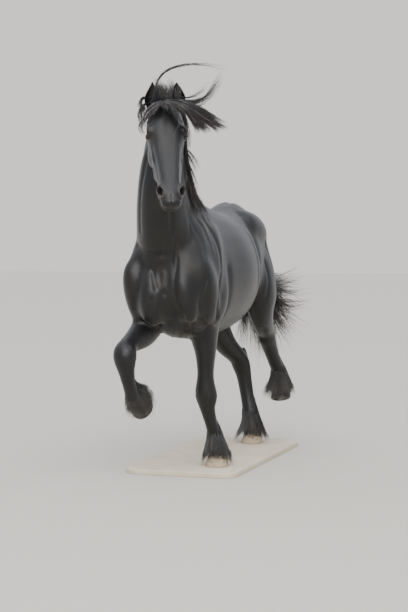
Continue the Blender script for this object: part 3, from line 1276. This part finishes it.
def hair_piece(name, locks, material):
    """One mesh of all the hairs of these locks, with the colours' bake map at their roots."""
    quads, points, tips, shades, maps, roots, ends = [], [], [], [], [], [], []
    start = 0
    for corners, shade in locks:
        count, rings = corners.shape[:2]
        points.append(corners.reshape(-1, 3))
        t = np.broadcast_to(np.linspace(0, 1, rings)[None, :, None], (count, rings, 3))
        tips.append(t.reshape(-1))
        shades.append(np.broadcast_to(shade[:, None, None], (count, rings, 3)).reshape(-1))
        root = unwrapped(corners[:, 0].mean(axis=1))
        corner_u = np.broadcast_to(np.array((-PATCH_HALF_WIDTH, PATCH_HALF_WIDTH, 0.0)), t.shape)
        patch = np.stack((corner_u, (t - 0.5) * PATCH_LENGTH), axis=-1)
        maps.append((root[:, None, None, :] + patch).reshape(-1, 2))
        first = start + np.arange(count) * rings * 3
        final = first + (rings - 1) * 3
        low = first[:, None, None] + (np.arange(rings - 1) * 3)[None, :, None]
        for k in range(3):
            n = (k + 1) % 3
            quads.append(np.stack((low + k, low + n, low + n + 3, low + k + 3), axis=-1).reshape(-1, 4))
        roots.append(np.stack((first + 2, first + 1, first), axis=1))
        ends.append(np.stack((final, final + 1, final + 2), axis=1))
        start += count * rings * 3
    points, quads, caps = np.concatenate(points), np.concatenate(quads), np.concatenate(roots + ends)
    mesh = bpy.data.meshes.new(name)
    mesh.vertices.add(len(points))
    mesh.vertices.foreach_set("co", points.ravel())
    corners_of = np.concatenate((quads.ravel(), caps.ravel())).astype(np.int32)
    mesh.loops.add(len(corners_of))
    mesh.loops.foreach_set("vertex_index", corners_of)
    mesh.polygons.add(len(quads) + len(caps))
    starts = np.concatenate((np.arange(len(quads)) * 4, len(quads) * 4 + np.arange(len(caps)) * 3))
    mesh.polygons.foreach_set("loop_start", starts.astype(np.int32))
    mesh.update(calc_edges=True)
    mesh.validate()
    bake = mesh.uv_layers.new(name="OFBake")
    bake.data.foreach_set("uv", np.concatenate(maps)[corners_of].astype(np.float32).ravel())
    obj = bpy.data.objects.new(name, mesh)
    bpy.context.scene.collection.objects.link(obj)
    set_attribute(obj, "tip", np.concatenate(tips))
    set_attribute(obj, "shade", np.concatenate(shades))
    obj.data.materials.append(material)
    stand_on_base(obj)
    only(obj)
    bpy.ops.object.shade_smooth()
    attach(obj, "root")
    return obj


def hair_material(name, root_hue, end_hue, dusty_hue, worn_from, gleam=0.6):
    """Glossy hair, black at the root and worn by sun towards the ends of some hairs."""
    material, tree = new_material(name)
    shade = attribute(tree, "shade")
    worn = ranged(tree, combined(tree, "MULTIPLY", attribute(tree, "tip"), shade), (worn_from, 0.95))
    ends = blend(tree, shade, linear(end_hue), linear(dusty_hue))
    surface(tree, {
        "Base Color": blend(tree, worn, linear(root_hue), ends),
        "Roughness": ranged(tree, noise(tree, own_place(tree), 90.0), end=(0.30, 0.52)),
        "Sheen Weight": gleam / 3,
        "Sheen Roughness": 0.4,
        "Specular IOR Level": gleam,
    })
    return material


# Share of the crest, then launch and pull of the locks there
MANE_FLIGHTS = (
    (0.10, (0.03, 0.02, 0.02), (0.00, 0.05, -0.24)),
    (0.25, (0.04, 0.02, 0.02), (0.00, 0.03, -0.32)),
    (0.45, (0.06, 0.02, 0.02), (0.02, 0.00, -0.38)),
    (0.70, (0.10, 0.02, 0.02), (0.03, -0.02, -0.38)),
    (0.90, (0.12, 0.04, 0.02), (0.02, 0.00, -0.28)),
)
MANE_LOCKS = 58
# a lock's width and thickness, and the width of its hairs
MANE_LOCK = (0.046, 0.016, 0.0036)
# clearance from the neck, length, hairs in a lock
LAYERS = ((0.004, 0.85, 36), (0.011, 1.0, 30))

# Hair that flies off the neck, as points along its middle; then how many locks and hairs, how
# wide a lock is, and how far the locks scatter. The arch and wisps over the poll, the curls
# behind the right ear, and the ends that show beside the neck
BLOWN = (
    (
        ((0.020, -0.965, 2.104), (0.002, -0.965, 2.171), (0.030, -0.960, 2.232), (0.091, -0.950, 2.275),
         (0.178, -0.930, 2.294), (0.301, -0.880, 2.292), (0.410, -0.830, 2.276)),
        2, 10, 0.012, 0.004,
    ),
    (
        ((0.153, -0.960, 2.095), (0.210, -0.955, 2.083), (0.257, -0.940, 2.088), (0.294, -0.910, 2.123),
         (0.325, -0.880, 2.180), (0.352, -0.850, 2.250)),
        5, 16, 0.030, 0.009,
    ),
    (
        ((0.153, -0.960, 2.112), (0.198, -0.955, 2.105), (0.240, -0.940, 2.116), (0.274, -0.920, 2.150),
         (0.302, -0.900, 2.196)),
        3, 10, 0.030, 0.012,
    ),
    (
        ((0.168, -0.970, 2.077), (0.223, -0.960, 2.065), (0.274, -0.940, 2.077), (0.314, -0.920, 2.111)),
        3, 12, 0.026, 0.010,
    ),
    (
        ((0.003, -1.000, 2.107), (-0.038, -1.000, 2.119), (-0.070, -1.000, 2.104),
         (-0.052, -1.010, 2.063), (-0.063, -1.020, 2.030), (-0.047, -1.030, 1.990),
         (-0.062, -1.030, 1.952), (-0.035, -1.040, 1.912)),
        4, 12, 0.016, 0.007,
    ),
    (
        ((0.001, -1.010, 2.079), (-0.028, -1.010, 2.079), (-0.054, -1.020, 2.057),
         (-0.033, -1.030, 2.023), (-0.044, -1.040, 1.983), (-0.019, -1.050, 1.938)),
        3, 12, 0.018, 0.007,
    ),
    (
        ((-0.008, -0.985, 2.103), (-0.045, -0.990, 2.115), (-0.070, -1.000, 2.093),
         (-0.076, -1.000, 2.059), (-0.049, -1.010, 2.036)),
        3, 12, 0.022, 0.007,
    ),
    (
        ((-0.017, -1.010, 2.046), (-0.051, -1.020, 2.052), (-0.065, -1.030, 2.018),
         (-0.047, -1.040, 1.983), (-0.014, -1.050, 1.976)),
        3, 12, 0.022, 0.007,
    ),
    (
        ((-0.012, -1.030, 2.000), (-0.038, -1.040, 1.978), (-0.052, -1.050, 1.944),
         (-0.037, -1.050, 1.911), (-0.004, -1.060, 1.898)),
        3, 12, 0.020, 0.007,
    ),
    (
        ((0.110, -0.800, 1.858), (0.130, -0.770, 1.831), (0.153, -0.750, 1.803), (0.173, -0.720, 1.759),
         (0.184, -0.700, 1.709)),
        4, 12, 0.030, 0.012,
    ),
    (
        ((0.103, -0.760, 1.792), (0.116, -0.730, 1.748), (0.128, -0.710, 1.692), (0.139, -0.690, 1.630),
         (0.156, -0.670, 1.568)),
        4, 14, 0.026, 0.009,
    ),
    (
        ((0.088, -0.700, 1.671), (0.099, -0.680, 1.614), (0.109, -0.655, 1.558), (0.131, -0.630, 1.501),
         (0.169, -0.600, 1.444)),
        6, 26, 0.036, 0.009,
    ),
)


def crest_point(share):
    """A point on the crest of the neck, from the poll (0) to the withers (1)."""
    rows = eased_rows(NECK[1:], 3)[::-1]
    place = share * (len(rows) - 1)
    k = int(min(place, len(rows) - 2))
    row = rows[k] + (rows[k + 1] - rows[k]) * (place - k)
    return np.array((row[4], row[0], row[1]))


def mane_flight(share):
    """Launch and pull of a lock that far down the crest."""
    shares = [row[0] for row in MANE_FLIGHTS]
    flight = []
    for k in (1, 2):
        columns = zip(*(row[k] for row in MANE_FLIGHTS))
        flight.append(np.array([np.interp(share, shares, column) for column in columns]))
    return flight


def scattered(vector, spread):
    """The vector, moved at random by up to a share of its length."""
    vector = np.array(vector, float)
    return vector + chance.uniform(-1, 1, 3) * np.linalg.norm(vector) * spread


mane_hair = hair_material("sunburnt_black_mane", "#0a0a0c", "#34231f", "#5c4542", 0.16)
for name, (clearance, long, count) in zip(("mane_under", "mane_upper"), LAYERS):
    locks = []
    for i in range(MANE_LOCKS):
        share = 0.10 + 0.79 * (i + chance.uniform(-0.3, 0.3)) / (MANE_LOCKS - 1)
        root = crest_point(share) + np.array((0.0, 0.0, -0.020))
        launch, pull = mane_flight(share)
        scale = long * chance.uniform(0.75, 1.06)
        path = thrown(root, scattered(launch, 0.22) * scale, scattered(pull, 0.10) * scale, clearance)
        root_line = (crest_point(min(share + 0.02, 1)) - crest_point(share - 0.02)) * 1.2
        locks.append(grown_along(path, count, *MANE_LOCK, root_line, reach=(0.6, 1.05), wave=0.012))
    mane = hair_piece(name, locks, mane_hair)
    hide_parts("neck")
locks = []
for points, number, count, wide, spread in BLOWN:
    for part in range(number):
        moved = np.array(points) + np.linspace(0.4, 1.4, len(points))[:, None] * chance.normal(0, spread, 3)
        path = kept_off(carried_through(moved, 16), 0.010)
        looks = {"reach": (0.55, 1.0), "clump": 0.3, "fray": 0.7, "wave": 0.010}
        locks.append(grown_along(path, count, wide, wide * 0.5, 0.0028, (0.0, 0.03, 0.0), **looks))
blown = hair_piece("mane_blown", locks, mane_hair)
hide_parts("neck")

# Forelock: the mane's hair between the ears. Part of it stands up behind them, and the rest
# comes over the poll and is swept off the brow by the wind, most of it to the horse's left.
forelock_hair = hair_material("black_forelock_hair", "#0b0b0d", "#2a2222", "#5a4a4b", 0.18)
# middle lines of the fan from the horse's right to its left, each with the number of locks
# between it and the next, the hairs in each and the least share of its length they reach
FORELOCK_FAN = (
    (
        ((0.074, -1.050, 2.084), (0.045, -1.100, 2.064), (0.007, -1.090, 2.033), (-0.021, -1.070, 1.997),
         (-0.039, -1.060, 1.954), (-0.022, -1.060, 1.910)),
        5, 16, 0.5,
    ),
    (
        ((0.089, -1.060, 2.082), (0.076, -1.120, 2.061), (0.046, -1.125, 2.034), (0.021, -1.120, 2.003),
         (0.006, -1.110, 1.966), (-0.001, -1.100, 1.934)),
        4, 12, 0.35,
    ),
    (
        ((0.104, -1.070, 2.081), (0.099, -1.120, 2.066), (0.087, -1.135, 2.054), (0.077, -1.140, 2.043),
         (0.068, -1.145, 2.026), (0.064, -1.150, 2.010)),
        5, 12, 0.2,
    ),
    (
        ((0.116, -1.070, 2.081), (0.156, -1.120, 2.067), (0.186, -1.140, 2.053), (0.209, -1.140, 2.036),
         (0.229, -1.130, 2.018), (0.242, -1.120, 1.991)),
        5, 20, 0.45,
    ),
    (
        ((0.122, -1.070, 2.080), (0.185, -1.120, 2.063), (0.228, -1.120, 2.040), (0.249, -1.090, 2.004),
         (0.265, -1.070, 1.962), (0.285, -1.060, 1.914)),
        10, 42, 0.85,
    ),
    (
        ((0.122, -1.070, 2.083), (0.193, -1.110, 2.064), (0.241, -1.100, 2.036), (0.271, -1.070, 2.000),
         (0.299, -1.050, 1.957), (0.332, -1.030, 1.915)),
        13, 46, 0.85,
    ),
    (
        ((0.124, -1.060, 2.087), (0.195, -1.100, 2.070), (0.246, -1.080, 2.046), (0.293, -1.050, 2.009),
         (0.349, -1.010, 1.967), (0.412, -0.975, 1.925)),
        11, 40, 0.65,
    ),
    (
        ((0.126, -1.050, 2.090), (0.194, -1.080, 2.080), (0.247, -1.065, 2.064), (0.296, -1.025, 2.030),
         (0.354, -0.990, 1.985), (0.430, -0.950, 1.946)),
        7, 24, 0.55,
    ),
    (
        ((0.131, -1.030, 2.092), (0.187, -1.060, 2.085), (0.230, -1.050, 2.074), (0.272, -1.020, 2.053),
         (0.319, -0.990, 2.022), (0.369, -0.965, 1.990)),
        0, 0, 0,
    ),
)
# the single thin lock that crosses the forehead
BROW_LOCK = (
    (0.117, -1.090, 2.068), (0.184, -1.150, 2.039), (0.226, -1.180, 1.987), (0.228, -1.210, 1.909),
    (0.197, -1.220, 1.867), (0.163, -1.220, 1.846),
)
# the tuft that stands behind the ears, and curls over at its top
TUFT = (
    (0.086, -0.975, 2.062), (0.086, -0.975, 2.111), (0.083, -0.975, 2.150), (0.072, -0.970, 2.176),
    (0.049, -0.970, 2.196),
)
TUFT_LOCKS = 34
TUFT_HALF = 0.056
locks = []
for (line, number, count, least), (following, *_) in zip(FORELOCK_FAN, FORELOCK_FAN[1:]):
    for part in range(number):
        share = (part + chance.uniform(0.1, 0.9)) / number
        moved = np.array(line) * (1 - share) + np.array(following) * share
        moved = moved + np.linspace(0.3, 1.5, len(moved))[:, None] * chance.normal(0, 0.006, 3)
        path = kept_off(carried_through(moved), 0.003 + 0.006 * chance.uniform())
        looks = {"reach": (least, 1.0), "clump": 0.2, "wave": 0.008, "taper": 4.5}
        locks.append(grown_along(path, count, 0.030, 0.012, 0.0028, (0.03, 0.01, 0.0), **looks))
path = kept_off(carried_through(BROW_LOCK, 20), 0.003)
locks.append(grown_along(path, 5, 0.006, 0.004, 0.0024, reach=(0.6, 1.0), wave=0.006))
for i in range(TUFT_LOCKS):
    aside = (i / (TUFT_LOCKS - 1) - 0.5) * 2
    beside = np.array((0.95, 0.31, -0.10 * abs(aside))) * (TUFT_HALF * aside)
    moved = np.array(TUFT) + beside + chance.normal(0, 0.005, 3)
    moved[1:] += np.linspace(0.2, 1.0, len(TUFT) - 1)[:, None] * chance.normal(0, 0.013, 3)
    path = kept_off(carried_through(moved), 0.004)
    looks = {"reach": (0.55, 1.02), "clump": 0.1, "fray": 0.6, "wave": 0.014}
    locks.append(grown_along(path, 20, 0.026, 0.018, 0.0032, (0.02, 0.0, 0.0), **looks))
forelock = hair_piece("forelock", locks, forelock_hair)
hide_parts("head")

# Tail: the longest and coarsest hair, from both sides of the dock all the way down. It streams
# back and to the horse's left in a fan of waving locks, browner at the ends.
tail_hair = hair_material("sunburnt_black_tail", "#0a0a0b", "#2a1f1d", "#4c3a37", 0.22)
TAIL_LOCKS = 50
TAIL_HAIRS = 34
TAIL_RINGS = 15
# end and launch of the locks farthest to the right, and how much they change to the far left
TAIL_END, TAIL_END_FAN = np.array((-0.15, 0.0, -0.69)), np.array((0.51, 0.0, 0.50))
TAIL_LAUNCH, TAIL_LAUNCH_FAN = np.array((-0.10, 0.16, -0.46)), np.array((0.24, 0.0, -0.32))
DOCK_ROOTS = (np.array((-0.022, 0.950, 1.350)), np.array((-0.004, 1.014, 1.180)))
for half, name in enumerate(("tail_inner", "tail_outer")):
    locks = []
    for i in range(TAIL_LOCKS):
        # most locks hang, and those farthest to the left are carried up again by the wind
        aside = (i * 0.618 + 0.3 * half) % 1.0
        down = chance.uniform(0.1, 1.0)
        root = DOCK_ROOTS[0] * (1 - down) + DOCK_ROOTS[1] * down + (chance.uniform(-0.012, 0.012), 0.0, 0.0)
        back = chance.uniform(0.08, 0.26)
        end = TAIL_END + TAIL_END_FAN * (aside**0.65, 0.0, aside**3) + (0.0, back, 0.0)
        launch = TAIL_LAUNCH + TAIL_LAUNCH_FAN * (aside, 0.0, aside**3)
        long = chance.uniform(0.80, 1.02)
        launch, pull = scattered(launch, 0.10) * long, scattered(end - launch, 0.08) * long
        path = thrown(root, launch, pull, 0.020, TAIL_RINGS)
        looks = {"reach": (0.6, 1.05), "clump": 0.3, "fray": 0.5, "wave": 0.022}
        locks.append(grown_along(path, TAIL_HAIRS, 0.052 + 0.02 * half, 0.034, 0.0040, (0, 0, 0.03), **looks))
    tail = hair_piece(name, locks, tail_hair)
    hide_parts("tail")

# Feather: long straight hair that grows all round each fetlock and up the back of the cannon,
# black and soft. It hangs over the hoof as a bell, thrown out at the sides and behind by the
# step, and covers most of the raised hooves. Its ends are dusty.

# How far from the middle of the foot the ends hang on the left, on the right and behind, and
# how high above the sole they end in front
FEATHER_BELL = {
    "fore_left": (0.090, 0.092, 0.105, 0.066),
    "fore_right": (0.098, 0.086, 0.090, 0.018),
    "hind_left": (0.122, 0.092, 0.120, 0.012),
    "hind_right": (0.122, 0.118, 0.118, 0.052),
}
FEATHER_LOCKS = 92
FEATHER_HAIRS = 28
FEATHER_RINGS = 9
FEATHER_BEFORE = 0.085
# how far the hair stands off the wall of the hoof, to the sides and ahead
WALL_CLEAR = (0.006, 0.008)
feather_hair = hair_material("dusty_black_feather", "#101011", "#2a2724", "#6b6156", 0.22)
for name in FEET:
    sole, side, toe, up = (np.array(v) for v in foot_axes(name))
    stations = np.array([row[:3] for row in LEGS[name][-4:]])
    left, right, back, front_end = FEATHER_BELL[name]
    locks = []
    for i in range(FEATHER_LOCKS):
        angle = 2 * math.pi * (i + chance.uniform(-0.5, 0.5)) / FEATHER_LOCKS
        across, behind = math.sin(angle), math.cos(angle)
        backness = float(smooth_step(behind, -0.75, -0.05))
        # behind it grows from high on the cannon, in front from the fetlock only
        rise = chance.uniform(0.0, 1.0) ** 1.3 * (0.55 + 0.75 * max(behind, 0.0)) * 1.9
        low = int(min(rise, 2))
        start = stations[-1 - low] * (1 - rise + low) + stations[-2 - low] * (rise - low)
        out = side * across - toe * behind
        sideways, lengthways = left if across > 0 else right, back if behind > 0 else FEATHER_BEFORE
        reach = math.hypot(sideways * across, lengthways * behind)
        end_height = front_end + (0.014 - front_end) * backness + chance.uniform(-0.006, 0.016)
        end = sole + up * end_height + out * reach * chance.uniform(0.80, 1.05)
        # hair falls down the leg first and turns out over the heel and the coronet
        heel = sole + up * 0.070 - toe * 0.040
        bend = start * 0.45 + heel * 0.55 + out * (0.052 + 0.010 * chance.uniform())
        above, below = start * 0.75 + bend * 0.25 + out * 0.026, end * 0.6 + bend * 0.4
        points = np.array((start + out * 0.022, above, bend, below, end)) + chance.normal(0, 0.003, (5, 3))
        path = kept_off(carried_through(points, FEATHER_RINGS), 0.003)
        # kept outside the wall of the hoof, which leans back towards the coronet
        rise = (path - sole) @ up
        height = np.clip(rise / HOOF_MIDDLE, -0.3, 1.4)
        leaned_back = np.clip(height, 0, 1) * HOOF_TOE_SLOPE * HOOF_LEAN
        middle = sole + up * rise[:, None] - toe * leaned_back[:, None]
        rel = path - middle
        sideways = rel @ side / (HOOF_HALF_WIDTH + WALL_CLEAR[0])
        lengthways = rel @ toe / (HOOF_HALF_LENGTH + WALL_CLEAR[1])
        wall = np.hypot(sideways, lengthways)
        inside = ((height < 1.15) & (wall < 1))[:, None]
        path = np.where(inside, middle + rel / np.maximum(wall, 0.3)[:, None], path)
        if name in GROUNDED:
            path[:, 2] = np.maximum(path[:, 2], 0.006)
        looks = {"reach": (0.5, 1.04), "clump": 0.2, "fray": 0.6, "wave": 0.010}
        locks.append(grown_along(path, FEATHER_HAIRS, 0.026, 0.010, 0.0021, up * 0.05, **looks))
    feather = hair_piece("feather_" + name, locks, feather_hair)
    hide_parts("cannon_" + name)

# Short coat hair: fine black tufts that lie flat along the body and show only where they break
# its edge: under the jaw and throat, on the breast and belly, behind the legs and at the ears.
# Lashes, whiskers and the soft hair in the ears belong to it.
short_fur = hair_material("black_short_fur", "#0b0b0d", "#121113", "#1f1d1d", 0.45, gleam=0.12)
skin_points = places_of(skin.data) - np.array(HORSE_AT)
skin_normals = normals_of(skin.data)


def short_hairs(roots, ways, normals, longs, width, lift):
    """Tapered hairs of three rings each, which leave the skin by the lift and lie down again."""
    ways = ways - normals * (ways * normals).sum(1)[:, None] * (1 - lift)
    ways /= np.linalg.norm(ways, axis=1)[:, None]
    sides = np.cross(ways, normals)
    sides /= np.linalg.norm(sides, axis=1)[:, None] + 1e-9
    rings = []
    for t, share in ((0.0, 1.0), (0.5, 0.75), (1.0, 0.12)):
        rise = lift * (t - 0.45 * t * t) - 0.06 * (1 - t)
        middle = roots + ways * (longs * t)[:, None] + normals * (longs * rise)[:, None]
        left, ridge = sides * width * 0.5 * share, normals * width * 0.25 * share
        rings.append(np.stack((middle + left, middle - left, middle + ridge), axis=1))
    return np.stack(rings, axis=1), chance.uniform(0, 1, len(roots))


def skin_tufts(wanted, number, hairs, long, width, lift, way=None):
    """Tufts at places of the skin picked by weight, combed along the coat's own growth."""
    picked = chance.choice(len(skin_points), number, p=wanted / wanted.sum())
    roots = np.repeat(skin_points[picked], hairs, axis=0) + chance.normal(0, 0.0025, (number * hairs, 3))
    normals = np.repeat(skin_normals[picked], hairs, axis=0)
    if way is None:
        leg = np.clip((0.85 - roots[:, 2:]) / 0.1, 0, 1)
        ways = np.array((0.0, 0.75, -0.60)) * (1 - leg) + np.array((0.0, 0.25, -1.0)) * leg
        face = (((roots - np.array(POLL)) @ head_rows.T)[:, 0] > 0.03) & (roots[:, 1] < -1.0)
        ways[face] = np.array(FACE_DOWN) * 0.4 - np.array(FACE_OUT) * 0.6
    else:
        ways = np.broadcast_to(np.array(way), roots.shape)
    ways = ways + chance.normal(0, 0.16, roots.shape)
    longs = long * chance.uniform(0.6, 1.2, len(roots))
    return short_hairs(roots, ways, normals, longs, width, lift)


height = skin_points[:, 2]
facing = skin_normals
head_rel = (skin_points - np.array(POLL)) @ head_rows.T
head_share = ((head_rel[:, 0] > 0.0) & (skin_points[:, 1] < -0.98) & (height > 1.4)).astype(float)
jaw = head_share * (head_rel[:, 2] < -0.11) * (head_rel[:, 0] < 0.5) + 1e-9
muzzle = head_share * (head_rel[:, 0] > 0.53) * (head_rel[:, 2] < -0.05)
belly = (1 - head_share) * ((facing[:, 2] < -0.55) & (height > 0.72) & (height < 1.05)) + 1e-9
behind_legs = (1 - head_share) * ((facing[:, 1] > 0.35) & (height < 0.95))
throat = (1 - head_share) * ((facing[:, 1] < -0.5) & (height > 1.15) & (skin_points[:, 1] < -0.75))
area = (1 - head_share) * np.where(height < 0.7, 0.3, 1.0)
# where, how many tufts and hairs in each, length, width, lift, and way if not the coat's own
locks = [
    skin_tufts(area, 1100, 4, 0.012, 0.0006, 0.03),
    skin_tufts(jaw, 160, 4, 0.013, 0.0009, 0.25),
    skin_tufts(belly, 420, 4, 0.018, 0.0010, 0.30),
    skin_tufts(behind_legs + 1e-9, 520, 4, 0.018, 0.0010, 0.22),
    skin_tufts(throat + 1e-9, 120, 3, 0.012, 0.0008, 0.08),
    skin_tufts(muzzle + 1e-9, 60, 1, 0.030, 0.0006, 1.2, FACE_DOWN),
]
for name, (centre, length, across, way) in eye_frames.items():
    u = np.linspace(-0.019, 0.015, 46)
    v = SLIT_HALF[1] * (1 - (u / SLIT_HALF[0]) ** 2) ** 0.75 + 0.001
    upward = across if (across @ head_rows)[2] > 0 else -across
    shell = EYE_RADIUS + LID - 0.001
    roots = centre + u[:, None] * length + v[:, None] * upward + np.sqrt(shell**2 - u**2 - v**2)[:, None] * way
    ways = way * 0.9 + upward * 0.35 + u[:, None] * 14 * length + chance.normal(0, 0.08, (len(u), 3))
    roots, ways = roots @ head_rows + np.array(POLL), ways @ head_rows
    normals = np.broadcast_to(upward @ head_rows, roots.shape)
    locks.append(short_hairs(roots, ways, normals, 0.011 * chance.uniform(0.7, 1.1, len(u)), 0.0006, 0.4))
EAR_HAIRS = 420
for name, (root, ear_up, opening) in EARS.items():
    t, side = chance.uniform(0.02, 0.86, EAR_HAIRS), chance.choice((0.02, 0.98), EAR_HAIRS)
    # most stand close to one rim or the other
    after, before = 0.10 * chance.uniform(0, 1, EAR_HAIRS) ** 2, 0.10 * chance.uniform(0, 1, EAR_HAIRS) ** 2
    share = np.where(side < 0.5, side + after, side - before)
    roots = np.array([ear_surface(name, *pair) for pair in zip(t, share)])
    facing_out = np.array(opening)
    up_way = np.array(Vector(ear_up).normalized())
    middle = np.array(head_point(*root)) + up_way * (EAR_LENGTH * t)[:, None]
    ways = (middle - roots) * 9 + up_way * 0.9 + facing_out * 0.35 + chance.normal(0, 0.15, roots.shape)
    normals = np.broadcast_to(facing_out / np.linalg.norm(facing_out), roots.shape)
    longs = 0.019 * chance.uniform(0.5, 1.1, EAR_HAIRS) * (1.1 - 0.6 * t)
    locks.append(short_hairs(roots, ways, normals, longs, 0.0008, 0.5))
tufts = hair_piece("coat_tufts", locks, short_fur)
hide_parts("torso")

# Stand: a low slab of sand-coloured cast stone under the horse, its corners rounded and its
# edges eased. Horse and slab are one still model, and two hooves rest on it.
STAND_CENTRE = (0.04, 0.09)
STAND_SIZE = (0.68, 1.56)
STAND_THICKNESS = 0.030
STAND_CORNER = 0.10
STAND_EDGE = 0.004

bpy.ops.mesh.primitive_cube_add(size=1.0, location=(0, 0, 0))
slab = bpy.context.object
slab.name = "stand_slab"
co = places_of(slab.data)
co = co * (*STAND_SIZE, STAND_THICKNESS) + (*STAND_CENTRE, -HOOF_GAP - STAND_THICKNESS / 2)
set_places(slab.data, co)
bm = bmesh.new()
bm.from_mesh(slab.data)
corners = [e for e in bm.edges if abs(e.verts[0].co.z - e.verts[1].co.z) > 0.01]
bmesh.ops.bevel(bm, geom=corners, offset=STAND_CORNER, segments=16, affect="EDGES", profile=0.5)
rim = [e for e in bm.edges if abs(e.verts[0].co.z - e.verts[1].co.z) < 0.001]
bmesh.ops.bevel(bm, geom=rim, offset=STAND_EDGE, segments=4, affect="EDGES", profile=0.5)
bm.to_mesh(slab.data)
bm.free()

stone, tree = new_material("sand_cast_stone")
cloud = noise(tree, own_place(tree), 9.0, 5.0)
grit = noise(tree, own_place(tree), 700.0)
pores = node(tree, "ShaderNodeTexVoronoi", (), {"Vector": own_place(tree), "Scale": 140.0})
pit = ranged(tree, pores.outputs["Distance"], (0.0, 0.22))
tone = blend(tree, cloud, linear("#b3a791"), linear("#cfc6b4"))
surface(tree, {
    "Base Color": scaled_hue(tree, tone, ranged(tree, grit, end=(0.82, 1.14))),
    "Roughness": 0.88,
    "Normal": bumped(tree, combined(tree, "MULTIPLY", grit, pit), 0.5, 0.0006),
    "Specular IOR Level": 0.3,
})
slab.data.materials.append(stone)
stand_on_base(slab)
only(slab)
bpy.ops.object.shade_smooth_by_angle(angle=math.radians(40))
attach(slab, "root")
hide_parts("stand_base")
